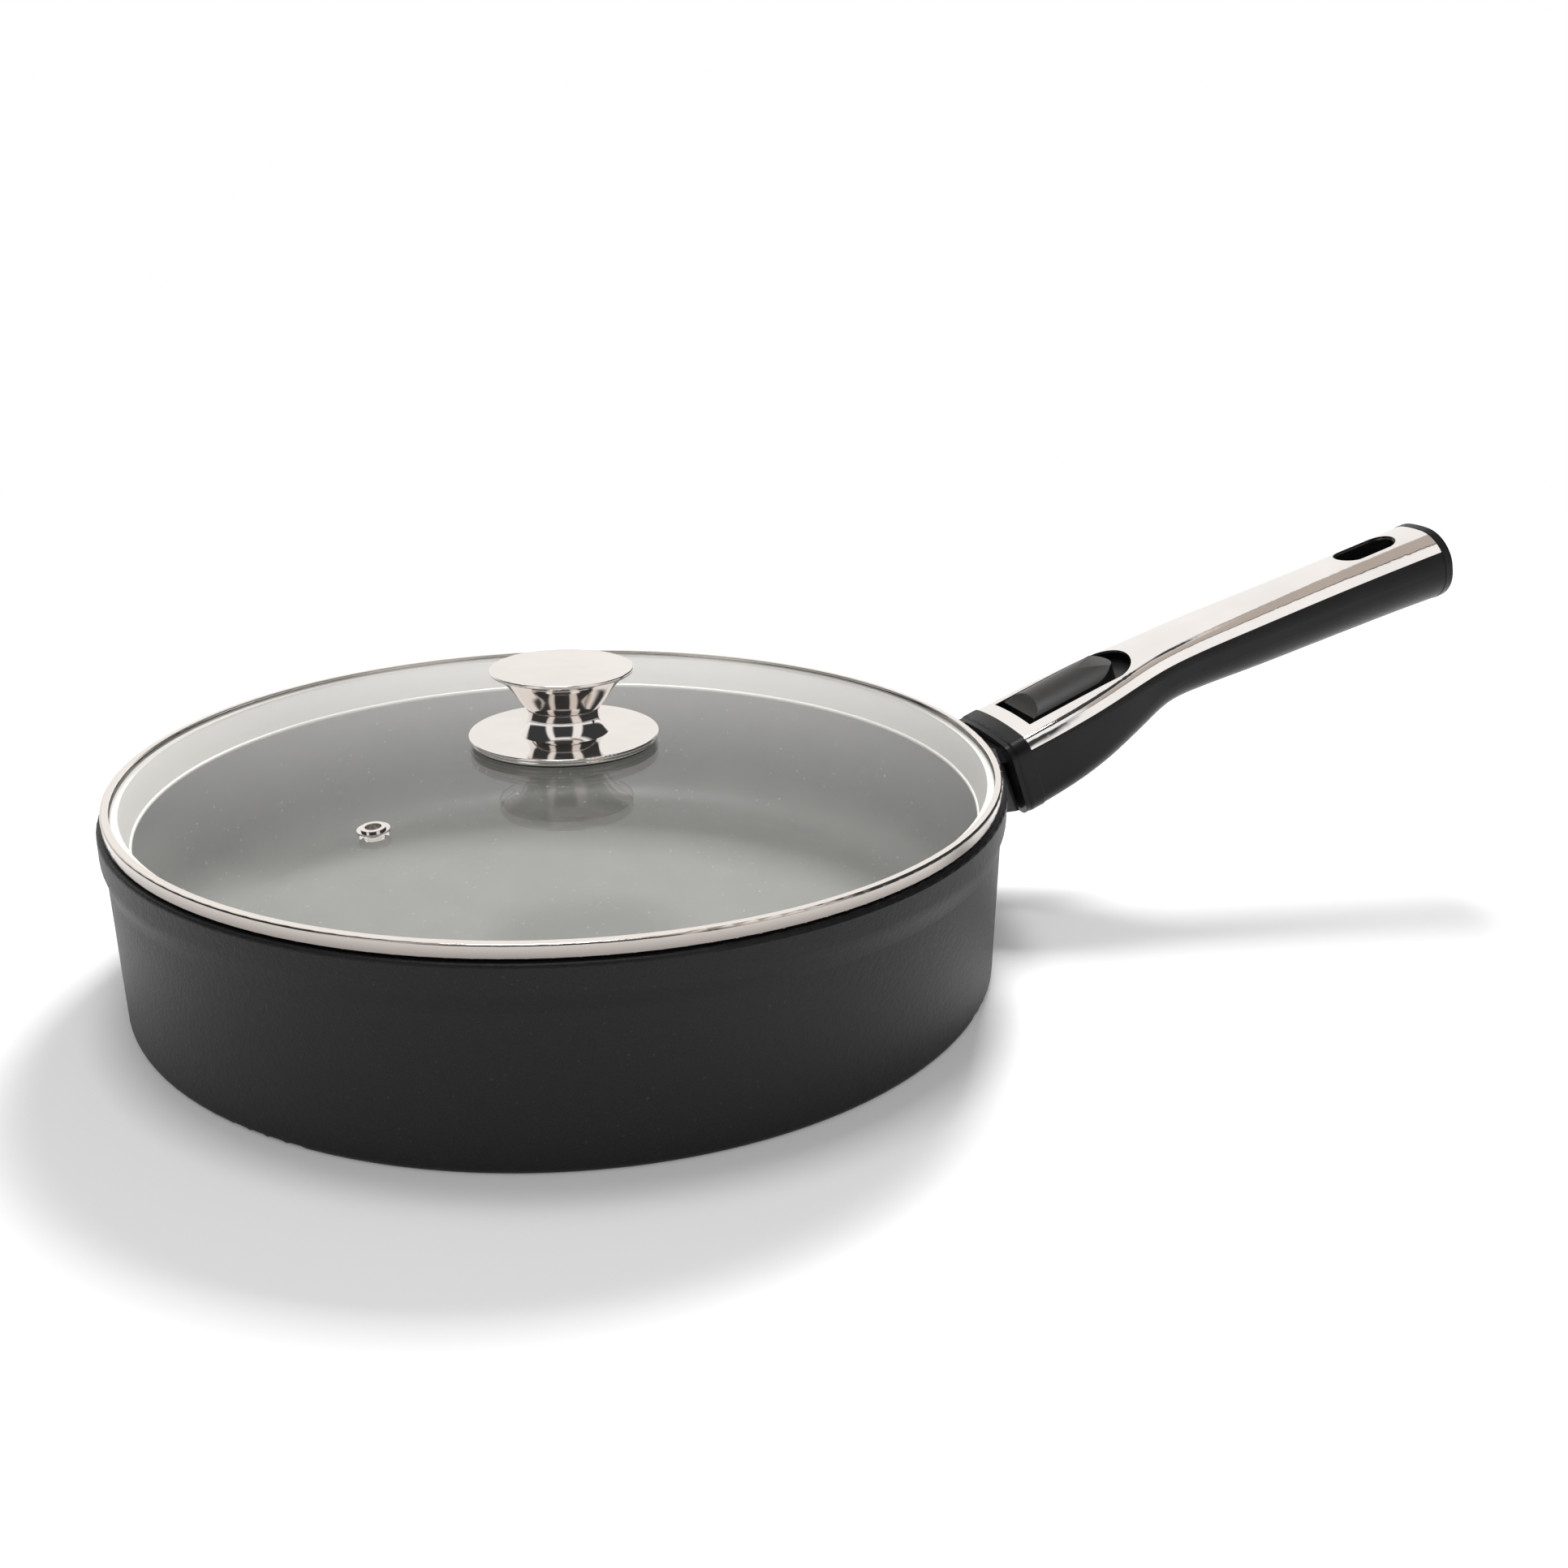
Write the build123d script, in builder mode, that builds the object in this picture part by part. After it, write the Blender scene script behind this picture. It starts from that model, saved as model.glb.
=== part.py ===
from build123d import *
import math
import os

# Saute pan with a glass lid and a detachable handle, in millimetres.
# The origin is the centre of the underside, +Z is up and the handle points along +X.

# Pan
rim_radius = 145.4
rim_overhang = 1.5
wall_draft = 0.7
pan_height = 62.5
wall_thickness = 4.0
floor_thickness = 5.0
base_edge_radius = 2.5
cove_radius = 17.0
rim_band_height = 7.5
rim_step_height = 7.0
rim_edge_radius = 1.2
rim_inner_edge = 0.8

# Induction disc in the underside
disc_radius = 105.0
disc_thickness = 1.2
groove_count = 6
groove_width = 1.4
groove_depth = 0.4

# Boss on the wall and the bracket that is screwed to it
boss_projection = 4.0
boss_half_width = 15.5
boss_corner_radius = 3.0
bracket_half_width = 14.0
bracket_height = 19.0
bracket_below_handle = 9.0
bracket_edge_radius = 2.0
tongue_half_width = 9.0
tongue_thickness = 6.0
tongue_length = 24.0
tongue_chamfer = 1.2
tongue_below_top = 2.5
bracket_screw_radius = 2.0
bracket_head_radius = 3.6
bracket_head_height = 2.4
bracket_screw_half_spacing = 9.6
bracket_screw_rise = 5.4
bracket_shoulder = 9.0
screw_wall_left = 2.0
hex_key_radius = 1.3
hex_key_depth = 1.3
hex_sides = 6

# Handle: its top line rises steeply at the front and less behind the knee
handle_gap = 8.9
handle_below_rim = 1.5
handle_length = 186.9
front_slope = 22.0
rear_slope = 16.1
knee_distance = 70.7
knee_blend = 18.9
collar_half_width = 21.4
collar_depth = 31.3
# Section at the front and at the far end
crown_drop = 2.1
crown_drop_end = 2.8
shoulder_radius = 5.5
shoulder_radius_end = 13.0
under_radius = 7.0
under_radius_end = 13.8
side_lean = 5.0
side_lean_end = 2.5
# Sections along the handle, as shares of its length, width and depth at the front
station_shares = (
    0.0, 0.04, 0.08, 0.13, 0.187, 0.244, 0.296, 0.348, 0.410,
    0.48, 0.56, 0.64, 0.72, 0.80, 0.87, 0.94, 1.0,
)
width_shares = (
    1.0, 1.0, 1.0, 0.992, 0.957, 0.887, 0.808, 0.741, 0.716,
    0.712, 0.707, 0.701, 0.701, 0.709, 0.725, 0.750, 0.779,
)
depth_shares = (
    1.0, 1.003, 0.996, 0.974, 0.928, 0.862, 0.797, 0.738, 0.742,
    0.772, 0.805, 0.832, 0.854, 0.874, 0.889, 0.905, 0.919,
)
lip_length = 8.0
lip_rise = 0.3
lip_front_radius = 3.0
lip_rear_radius = 0.25

# Steel plate on the handle
plate_thickness = 1.0
plate_side_depth = 5.8
plate_side_depth_end = 7.1
plate_overrun = 6.0
opening_front = 13.7
opening_length = 50.0
opening_half_width = 13.2
opening_end_length = 11.3
slot_distance = 164.5
slot_length = 26.0
slot_width = 13.3
slot_step = 0.7

# Nose under the handle's front lip
guard_half_width = 15.0
guard_height = 6.0
guard_gap_to_rim = 2.1
guard_seat = 2.0
guard_edge_radius = 1.6

# End cap
cap_length = 4.0
cap_rise = 0.15
cap_edge_radius = 1.5
spigot_length = 7.0
spigot_inset = 3.6

# Release mechanism, measured along the front slope from the handle's front and down from its top line
button_front_gap = 3.1
button_side_gap = 2.0
button_travel = 7.0
button_length = 39.6
button_end_length = 13.0
button_top = 3.2
button_bottom = -4.7
button_crown = 3.6
button_rear_start = 13.0
button_rear_drop = 2.6
hollow_foot = -0.7
hollow_length = 5.3
hollow_sag = 0.4
tray_top = -5.0
tray_thickness = 1.5
tray_margin = 1.0
tray_screw_radius = 1.2
tray_screw_head_radius = 2.1
tray_screw_length = 8.0
tray_screw_half_spacing = 9.6
tray_screw_first = 18.0
tray_screw_spacing = 22.0
cross_slot_width = 0.7
cross_slot_depth = 0.6
stem_front = 24.0
stem_length = 8.0
stem_half_width = 3.7
carrier_thickness = 4.0
carrier_front = 14.0
carrier_length = 30.0
carrier_half_width = 6.6
carrier_corner_radius = 1.5
foot_length = 6.0
foot_depth = 7.0
foot_half_width = 5.0
wedge_length = 21.0
wedge_half_width = 6.4
carrier_screw_radius = 1.5
carrier_screw_head_radius = 2.6
carrier_screw_head_height = 2.0
carrier_screw_head_depth = 5.0
carrier_screw_reach = 3.6
pin_radius = 1.5
pin_bite = 6.0
pin_chamfer = 0.4
spring_wire_radius = 0.4
spring_coil_radius = 2.8
spring_turns = 7
spring_length = 17.6
spring_drop = 3.6
spring_floor_gap = 1.2

# Glass lid
lid_seat_gap = 0.3
band_inset = 1.6
ring_thickness = 0.5
lip_width = 2.5
band_edge_radius = 0.7
skirt_clearance = 0.7
skirt_taper = 2.4
skirt_depth = 10.4
hem_radius = 0.7
glass_thickness = 3.2
glass_rise = 8.7
glass_edge_radius = 0.5
glass_edge_gap = 0.1
centre_hole_radius = 4.0

# Steam vent
vent_distance = 89.0
vent_angle = 218.1
vent_bore_radius = 2.35
vent_barrel_wall = 0.55
vent_flange_radius = 4.75
vent_step_radius = 3.7
vent_flange_thickness = 0.5
vent_step_height = 0.6
vent_lower_radius = 4.2

# Knob
top_gasket_radius = 29.6
seat_radius = 30.6
seat_thickness = 1.1
flange_radius = 31.0
flange_thickness = 1.1
flange_edge_radius = 0.4
seat_rise = 0.4
waist_foot_radius = 14.6
waist_radius = 11.6
waist_top_radius = 12.0
waist_height = 8.2
waist_share = 0.8
neck_gap = 0.5
neck_gap_radius = 11.0
funnel_foot_radius = 12.2
funnel_mid_radius = 15.0
funnel_shoulder_radius = 19.0
funnel_top_radius = 22.2
funnel_height = 11.6
funnel_mid_share = 0.33
funnel_shoulder_share = 0.77
funnel_wall = 1.2
core_radius = 8.0
core_pad_radius = 12.2
core_pad_thickness = 1.5
top_disc_radius = 23.2
top_disc_thickness = 1.2
top_disc_dome = 0.4
top_disc_edge_radius = 0.4
knob_screw_radius = 2.5
knob_screw_clearance = 0.2
knob_screw_head_radius = 4.8
knob_screw_head_height = 2.4
knob_screw_head_round = 0.8
knob_screw_reach = 14.0
lower_gasket_radius = 9.0
lower_gasket_thickness = 1.5
washer_radius = 8.0
washer_thickness = 1.0

# Angles
quarter_turn = 90
half_turn = 180

# Fits and overruns
clearance = 0.3
running_clearance = 0.08
overrun = 2.0

os.makedirs("parts", exist_ok=True)


def save(part, name):
    """Labels a finished piece and writes it."""
    part.label = name
    export_step(part, f"parts/{name}.step")


# Places worked out from the sizes above
wall_radius = rim_radius - rim_overhang
wall_foot_radius = wall_radius - wall_draft
inner_radius = wall_radius - wall_thickness
rim_step_top = pan_height - rim_band_height
rim_step_bottom = rim_step_top - rim_step_height
boss_face = wall_radius + boss_projection
handle_front = rim_radius + handle_gap
handle_front_height = pan_height - handle_below_rim
bracket_top = handle_front_height - bracket_below_handle
bracket_bottom = bracket_top - bracket_height
handle_end = handle_front + handle_length
knee = handle_front + knee_distance
front_angle = math.radians(front_slope)
front_rise = math.tan(front_angle)
rear_rise = math.tan(math.radians(rear_slope))
along = (math.cos(front_angle), math.sin(front_angle))
tongue_top = bracket_top - tongue_below_top
tongue_bottom = tongue_top - tongue_thickness


def top_height(x):
    """Height of the handle's top line above the base, straight, curved at the knee, straight."""
    start = knee - knee_blend
    straight = handle_front_height + front_rise * (x - handle_front)
    if x <= start:
        return straight
    if x <= knee + knee_blend:
        return straight + (rear_rise - front_rise) * (x - start) ** 2 / (4 * knee_blend)
    return straight + (rear_rise - front_rise) * (x - knee)


def top_angle(x):
    """Slope of the top line, in radians."""
    share = min(max((x - knee + knee_blend) / (2 * knee_blend), 0), 1)
    return math.atan(front_rise + (rear_rise - front_rise) * share)


def across(x):
    """Plane square to the handle's top line, with +Y as its first axis and up as its second."""
    a = top_angle(x)
    return Plane(origin=(x, 0, top_height(x)), x_dir=(0, 1, 0), z_dir=(math.cos(a), 0, math.sin(a)))


def below_top(x, depth):
    """Point in the XZ plane that lies square below the top line."""
    a = top_angle(x)
    return (x + depth * math.sin(a), top_height(x) - depth * math.cos(a))


def front_point(u, n):
    """Point in the XZ plane, from a distance along the front slope and a height above the top line."""
    return (handle_front + u * along[0] - n * along[1], handle_front_height + u * along[1] + n * along[0])


front_plane = Plane(
    origin=(handle_front, 0, handle_front_height),
    x_dir=(along[0], 0, along[1]),
    z_dir=(-along[1], 0, along[0]),
)
slot_x = handle_front + slot_distance
slot_angle = top_angle(slot_x)
slot_plane = Plane(
    origin=(slot_x, 0, top_height(slot_x)),
    x_dir=(math.cos(slot_angle), 0, math.sin(slot_angle)),
    z_dir=(-math.sin(slot_angle), 0, math.cos(slot_angle)),
)


def between(first, last, share):
    """Size part of the way from the handle's front to its end."""
    return first + (last - first) * share


def arc_point(centre, radius, angle):
    """Point on a circle."""
    return (centre[0] + radius * math.cos(angle), centre[1] + radius * math.sin(angle))


def mirrored(point):
    """The same point on the other side of the upright plane."""
    return (-point[0], point[1])


def handle_outline(half_width, depth, drop, shoulder, under, lean, inset):
    """Closed outline of the handle: crowned top, round shoulders, leaning sides, round underside."""
    crown = half_width**2 / (2 * drop)
    crown_centre = (0, -crown)
    shoulder_x = half_width - shoulder
    shoulder_centre = (shoulder_x, math.sqrt((crown - shoulder) ** 2 - shoulder_x**2) - crown)
    seam = math.atan2(shoulder_centre[1] + crown, shoulder_x)
    side_reach = shoulder_x * math.cos(lean) - shoulder_centre[1] * math.sin(lean) + shoulder
    under_height = under - depth
    under_x = (side_reach - under + under_height * math.sin(lean)) / math.cos(lean)
    under_centre = (under_x, under_height)
    crown_end = arc_point(crown_centre, crown - inset, seam)
    shoulder_middle = arc_point(shoulder_centre, shoulder - inset, (seam - lean) / 2)
    shoulder_end = arc_point(shoulder_centre, shoulder - inset, -lean)
    under_start = arc_point(under_centre, under - inset, -lean)
    under_middle = arc_point(under_centre, under - inset, -(lean + math.pi / 2) / 2)
    under_end = (under_x, inset - depth)
    with BuildLine() as line:
        ThreePointArc(mirrored(crown_end), (0, -inset), crown_end)
        ThreePointArc(crown_end, shoulder_middle, shoulder_end)
        Line(shoulder_end, under_start)
        ThreePointArc(under_start, under_middle, under_end)
        Line(under_end, mirrored(under_end))
        ThreePointArc(mirrored(under_end), mirrored(under_middle), mirrored(under_start))
        Line(mirrored(under_start), mirrored(shoulder_end))
        ThreePointArc(mirrored(shoulder_end), mirrored(shoulder_middle), mirrored(crown_end))
    return line.line


def station_outline(index, inset):
    """Handle outline at one of its stations."""
    share = station_shares[index]
    return handle_outline(
        collar_half_width * width_shares[index],
        collar_depth * depth_shares[index],
        between(crown_drop, crown_drop_end, share),
        between(shoulder_radius, shoulder_radius_end, share),
        between(under_radius, under_radius_end, share),
        math.radians(between(side_lean, side_lean_end, share)),
        inset,
    )


def handle_form(inset):
    """Solid through the handle's stations, drawn in by an inset."""
    with BuildPart() as form:
        for index, share in enumerate(station_shares):
            with BuildSketch(across(handle_front + handle_length * share)):
                add(station_outline(index, inset))
                make_face()
        loft()
    return form.part


def opening_outline(front, length, end_length, half_width):
    """Outline with a square front and an oval rear end."""
    straight = front + length - end_length
    with BuildLine() as line:
        Line((front, -half_width), (straight, -half_width))
        EllipticalCenterArc(
            (straight, 0), end_length, half_width, start_angle=-quarter_turn, arc_size=half_turn
        )
        Line((straight, half_width), (front, half_width))
        Line((front, half_width), (front, -half_width))
    return line.line


# Pan: one casting, turned inside and out, with a boss for the bracket
with BuildPart() as pan_body:
    with BuildSketch(Plane.XZ):
        with BuildLine():
            Line((0, disc_thickness), (disc_radius, disc_thickness))
            Line((disc_radius, disc_thickness), (disc_radius, 0))
            Line((disc_radius, 0), (wall_foot_radius - base_edge_radius, 0))
            RadiusArc(
                (wall_foot_radius - base_edge_radius, 0),
                (wall_foot_radius, base_edge_radius),
                -base_edge_radius,
            )
            Line((wall_foot_radius, base_edge_radius), (wall_radius, rim_step_bottom))
            Spline(
                (wall_radius, rim_step_bottom),
                (rim_radius, rim_step_top),
                tangents=[(0, 1), (0, 1)],
            )
            Line((rim_radius, rim_step_top), (rim_radius, pan_height - rim_edge_radius))
            RadiusArc(
                (rim_radius, pan_height - rim_edge_radius),
                (rim_radius - rim_edge_radius, pan_height),
                -rim_edge_radius,
            )
            Line((rim_radius - rim_edge_radius, pan_height), (inner_radius + rim_inner_edge, pan_height))
            RadiusArc(
                (inner_radius + rim_inner_edge, pan_height),
                (inner_radius, pan_height - rim_inner_edge),
                -rim_inner_edge,
            )
            Line((inner_radius, pan_height - rim_inner_edge), (inner_radius, floor_thickness + cove_radius))
            RadiusArc(
                (inner_radius, floor_thickness + cove_radius),
                (inner_radius - cove_radius, floor_thickness),
                cove_radius,
            )
            Line((inner_radius - cove_radius, floor_thickness), (0, floor_thickness))
            Line((0, floor_thickness), (0, disc_thickness))
        make_face()
    revolve(axis=Axis.Z)
    boss_root = wall_radius - wall_thickness / 2
    with BuildSketch(Plane.XY.offset(bracket_bottom)):
        with Locations(((boss_root + boss_face) / 2, 0)):
            Rectangle(boss_face - boss_root, 2 * boss_half_width)
    extrude(amount=bracket_top - bracket_bottom)
    fillet(pan_body.edges().filter_by(Axis.Z).group_by(Axis.X)[-1], radius=boss_corner_radius)
    screw_height = bracket_bottom + bracket_screw_rise
    with Locations(
        Plane(origin=(boss_face, 0, screw_height), x_dir=(0, 1, 0), z_dir=(1, 0, 0))
    ):
        with Locations((bracket_screw_half_spacing, 0), (-bracket_screw_half_spacing, 0)):
            Hole(bracket_screw_radius, depth=boss_face - inner_radius - screw_wall_left)
save(pan_body.part, "pan_body")

# Induction disc, flush with the underside, with turned grooves
with BuildPart() as base_disc:
    with BuildSketch():
        Circle(disc_radius)
    extrude(amount=disc_thickness)
    groove_pitch = disc_radius / (groove_count + 1)
    with BuildSketch():
        for index in range(groove_count):
            middle = groove_pitch * (index + 1)
            Circle(middle + groove_width / 2)
            Circle(middle - groove_width / 2, mode=Mode.SUBTRACT)
    extrude(amount=groove_depth, mode=Mode.SUBTRACT)
save(base_disc.part, "base_disc")

# Bracket: a block on the boss, parallel to the handle's sloping front, with a tongue for the handle
bracket_face = Plane.XZ.offset(-bracket_half_width)
screw_seat = boss_face + bracket_shoulder


def front_face_x(z, gap):
    """Where the handle's sloping front face, less a gap, lies at a height."""
    return handle_front + (handle_front_height - z) * front_rise - gap / along[0]


tongue_root = front_face_x(tongue_top, clearance) - overrun
tongue_tip = front_face_x(tongue_top, clearance) + tongue_length
with BuildPart() as handle_bracket:
    with BuildSketch(bracket_face):
        Polygon(
            (boss_face, bracket_bottom),
            (front_face_x(bracket_bottom, clearance), bracket_bottom),
            (front_face_x(bracket_top, clearance), bracket_top),
            (boss_face, bracket_top),
            align=None,
        )
    extrude(amount=2 * bracket_half_width)
    sloping_edges = handle_bracket.faces().sort_by(Axis.X)[-1].edges()
    side_edges = sloping_edges.sort_by(Axis.Y)
    fillet([side_edges[0], side_edges[-1]], radius=bracket_edge_radius)
    with BuildSketch(Plane.XY.offset(tongue_bottom)):
        with Locations(((tongue_root + tongue_tip) / 2, 0)):
            Rectangle(tongue_tip - tongue_root, 2 * tongue_half_width)
    extrude(amount=tongue_thickness)
    chamfer(handle_bracket.faces().sort_by(Axis.X)[-1].edges(), length=tongue_chamfer)
    with Locations(
        Plane(origin=(screw_seat, 0, screw_height), x_dir=(0, 1, 0), z_dir=(1, 0, 0))
    ):
        with Locations((bracket_screw_half_spacing, 0), (-bracket_screw_half_spacing, 0)):
            Hole(bracket_screw_radius, depth=bracket_shoulder)
            Cylinder(
                bracket_head_radius + running_clearance,
                boss_face,
                align=(Align.CENTER, Align.CENTER, Align.MIN),
                mode=Mode.SUBTRACT,
            )
save(handle_bracket.part, "handle_bracket")

# The two socket screws that hold the bracket
with BuildPart() as bracket_screws:
    screw_depth = boss_face - inner_radius - screw_wall_left + bracket_shoulder
    for side in (-1, 1):
        head_centre = (screw_seat, side * bracket_screw_half_spacing, screw_height)
        head_plane = Plane(origin=head_centre, x_dir=(0, 1, 0), z_dir=(1, 0, 0))
        with BuildSketch(head_plane):
            Circle(bracket_head_radius)
        extrude(amount=bracket_head_height)
        with BuildSketch(head_plane):
            Circle(bracket_screw_radius)
        extrude(amount=-screw_depth)
        with BuildSketch(head_plane.offset(bracket_head_height)):
            RegularPolygon(hex_key_radius, hex_sides)
        extrude(amount=-hex_key_depth, mode=Mode.SUBTRACT)
save(bracket_screws.part, "bracket_screws")

# Handle: outer form, shared by the body and the steel plate
outer_form = handle_form(0)
inner_form = handle_form(plate_thickness)

# Where the tray's screws stand, in the front slope's own plane
tray_screw_places = [
    (tray_screw_first + row * tray_screw_spacing, side * tray_screw_half_spacing)
    for row in (0, 1)
    for side in (-1, 1)
]

# The plate covers the form down to a line that runs below the top, from the front lip to the end
plate_line = [
    below_top(handle_front + handle_length * share, between(plate_side_depth, plate_side_depth_end, share))
    for share in station_shares[2:]
]
plate_front = front_point(lip_length, -plate_side_depth)
lip_top = front_point(lip_length, plate_overrun)
end_up = (
    handle_end - plate_overrun * math.sin(top_angle(handle_end)),
    top_height(handle_end) + plate_overrun * math.cos(top_angle(handle_end)),
)
with BuildPart() as plate_zone:
    with BuildSketch(Plane.XZ.offset(-2 * collar_half_width)):
        with BuildLine():
            Spline(plate_front, *plate_line)
            Line(plate_line[-1], end_up)
            Line(end_up, lip_top)
            Line(lip_top, plate_front)
        make_face()
    extrude(amount=4 * collar_half_width)

with BuildPart() as handle_plate:
    add(outer_form)
    add(inner_form, mode=Mode.SUBTRACT)
    add(plate_zone.part, mode=Mode.INTERSECT)
plate_blank = handle_plate.part
with handle_plate:
    with BuildSketch(front_plane):
        add(opening_outline(opening_front, opening_length, opening_end_length, opening_half_width))
        make_face()
    extrude(amount=plate_overrun, both=True, mode=Mode.SUBTRACT)
    with BuildSketch(slot_plane):
        SlotOverall(slot_length, slot_width)
    extrude(amount=plate_overrun, both=True, mode=Mode.SUBTRACT)
save(handle_plate.part, "handle_plate")

# Heights under the front slope of the tray, the carrier, the wedge and the spring
tray_bottom = tray_top - tray_thickness
tray_outline_sizes = (
    opening_front - tray_margin,
    opening_length + 2 * tray_margin,
    opening_end_length + tray_margin,
    opening_half_width + tray_margin,
)
carrier_top = tray_bottom - clearance
carrier_bottom = carrier_top - carrier_thickness
carrier_rear = carrier_front + carrier_length
foot_front = carrier_rear - foot_length
spring_axis = carrier_bottom - spring_drop
spring_rear = carrier_rear + spring_length
cavity_floor = spring_axis - spring_coil_radius - spring_wire_radius - spring_floor_gap
wedge_bottom = tongue_top + clearance
wedge_front = front_point(carrier_front, carrier_bottom)
wedge_rear = front_point(carrier_front + wedge_length, carrier_bottom)


def slope_height(x, n):
    """Height of a line parallel to the front slope, at a place along X and a height above the top line."""
    u = (x - handle_front + n * along[1]) / along[0]
    return front_point(u, n)[1]


def slope_section(u, n):
    """Plane square to the front slope, with +Y as its first axis, centred on a point of the slope frame."""
    x, z = front_point(u, n)
    return Plane(origin=(x, 0, z), x_dir=(0, 1, 0), z_dir=(along[0], 0, along[1]))


# Lip round the handle's front, moulded in one with the body
with BuildPart() as front_lip:
    with BuildSketch(across(handle_front)):
        add(station_outline(0, -lip_rise))
        make_face()
    extrude(amount=lip_length)
    slope_axis = Axis((handle_front, 0, handle_front_height), (along[0], 0, along[1]))
    fillet(front_lip.faces().sort_by(slope_axis)[0].edges(), radius=lip_front_radius)
    fillet(front_lip.faces().sort_by(slope_axis)[-1].edges(), radius=lip_rear_radius)

# Nose that fills the gap between the handle's front and the pan's rim, above the bracket
guard_bottom = bracket_top + 2 * clearance
with BuildPart() as front_guard:
    with BuildSketch(Plane.XZ.offset(-guard_half_width)):
        Polygon(
            (rim_radius, guard_bottom),
            (front_face_x(guard_bottom, -guard_seat), guard_bottom),
            (front_face_x(guard_bottom + guard_height, -guard_seat), guard_bottom + guard_height),
            (rim_radius, guard_bottom + guard_height),
            align=None,
        )
    extrude(amount=2 * guard_half_width)
guard_blank = front_guard.part
with front_guard:
    with BuildSketch(Plane.XY.offset(guard_bottom - overrun)):
        Circle(rim_radius + guard_gap_to_rim)
    extrude(amount=guard_height + 2 * overrun, mode=Mode.SUBTRACT)
    top_edges = front_guard.faces().sort_by(Axis.Z)[-1].edges().filter_by(GeomType.CIRCLE)
    fillet(top_edges, radius=guard_edge_radius)
save(front_guard.part, "front_guard")

# Handle body: the form less the plate, with its cavities
cavity_half_width = carrier_half_width + clearance
pocket_half_width = tongue_half_width + clearance
travel_x = button_travel * along[0]
with BuildPart() as handle_body:
    add(outer_form)
    add(plate_blank, mode=Mode.SUBTRACT)
    add(front_lip.part)
    add(guard_blank, mode=Mode.SUBTRACT)
    # Recess that the tray lies in
    with BuildSketch(front_plane.offset(tray_bottom)):
        add(opening_outline(*tray_outline_sizes))
        make_face()
    extrude(amount=overrun - tray_bottom, mode=Mode.SUBTRACT)
    # Pocket for the bracket's tongue
    with BuildSketch(Plane.XZ.offset(-pocket_half_width)):
        Polygon(
            (tongue_root, tongue_bottom - clearance),
            (tongue_tip + clearance, tongue_bottom - clearance),
            (tongue_tip + clearance, tongue_top + clearance),
            (tongue_root, tongue_top + clearance),
            align=None,
        )
    extrude(amount=2 * pocket_half_width, mode=Mode.SUBTRACT)
    # Room for the carrier and the wedge over their travel
    cavity_end = wedge_rear[0] + travel_x + clearance
    carrier_end = carrier_rear + button_travel + clearance
    with BuildSketch(Plane.XZ.offset(-cavity_half_width)):
        Polygon(
            front_point(carrier_front - clearance, tray_bottom),
            front_point(carrier_end, tray_bottom),
            front_point(carrier_end, carrier_bottom - clearance),
            (cavity_end, slope_height(cavity_end, carrier_bottom - clearance)),
            (cavity_end, tongue_top),
            (front_point(carrier_front - clearance, carrier_bottom)[0], tongue_top),
            front_point(carrier_front - clearance, carrier_bottom),
            align=None,
        )
    extrude(amount=2 * cavity_half_width, mode=Mode.SUBTRACT)
    # Trough for the carrier's foot and the spring
    with BuildSketch(Plane.XZ.offset(-foot_half_width - clearance)):
        Polygon(
            front_point(foot_front - clearance, tray_bottom),
            front_point(spring_rear, tray_bottom),
            front_point(spring_rear, cavity_floor),
            front_point(foot_front - clearance, cavity_floor),
            align=None,
        )
    extrude(amount=2 * (foot_half_width + clearance), mode=Mode.SUBTRACT)
    # Bore for the spring's pin, and pilot holes for the tray's screws
    with BuildSketch(slope_section(spring_rear, spring_axis)):
        Circle(pin_radius)
    extrude(amount=pin_bite, mode=Mode.SUBTRACT)
    with BuildSketch(front_plane.offset(tray_top)):
        with Locations(*tray_screw_places):
            Circle(tray_screw_radius)
    extrude(amount=-tray_screw_length, mode=Mode.SUBTRACT)
    # Hanging slot and the socket for the end cap
    with BuildSketch(slot_plane):
        SlotOverall(slot_length - 2 * slot_step, slot_width - 2 * slot_step)
    extrude(amount=collar_depth, both=True, mode=Mode.SUBTRACT)
    with BuildSketch(across(handle_end)):
        add(station_outline(-1, spigot_inset))
        make_face()
    extrude(amount=-spigot_length, mode=Mode.SUBTRACT)
save(handle_body.part, "handle_body")

# End cap, with a spigot in the handle's end
with BuildPart() as end_cap:
    with BuildSketch(across(handle_end)):
        add(station_outline(-1, -cap_rise))
        make_face()
    extrude(amount=cap_length)
    end_axis = Axis((handle_end, 0, 0), across(handle_end).z_dir)
    fillet(end_cap.faces().sort_by(end_axis)[-1].edges(), radius=cap_edge_radius)
    with BuildSketch(across(handle_end)):
        add(station_outline(-1, spigot_inset))
        make_face()
    extrude(amount=-spigot_length)
save(end_cap.part, "end_cap")

# Tray under the button, slotted for the button's stem and screwed to the body
with BuildPart() as mechanism_tray:
    with BuildSketch(front_plane.offset(tray_bottom)):
        add(opening_outline(*tray_outline_sizes))
        make_face()
        stem_way = stem_length + button_travel
        with Locations((stem_front + stem_way / 2, 0)):
            Rectangle(stem_way + 2 * clearance, 2 * (stem_half_width + clearance), mode=Mode.SUBTRACT)
    extrude(amount=tray_thickness)
    with Locations(front_plane.offset(tray_top)):
        with Locations(*tray_screw_places):
            CounterSinkHole(tray_screw_radius, tray_screw_head_radius, depth=2 * tray_thickness)
save(mechanism_tray.part, "mechanism_tray")

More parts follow.
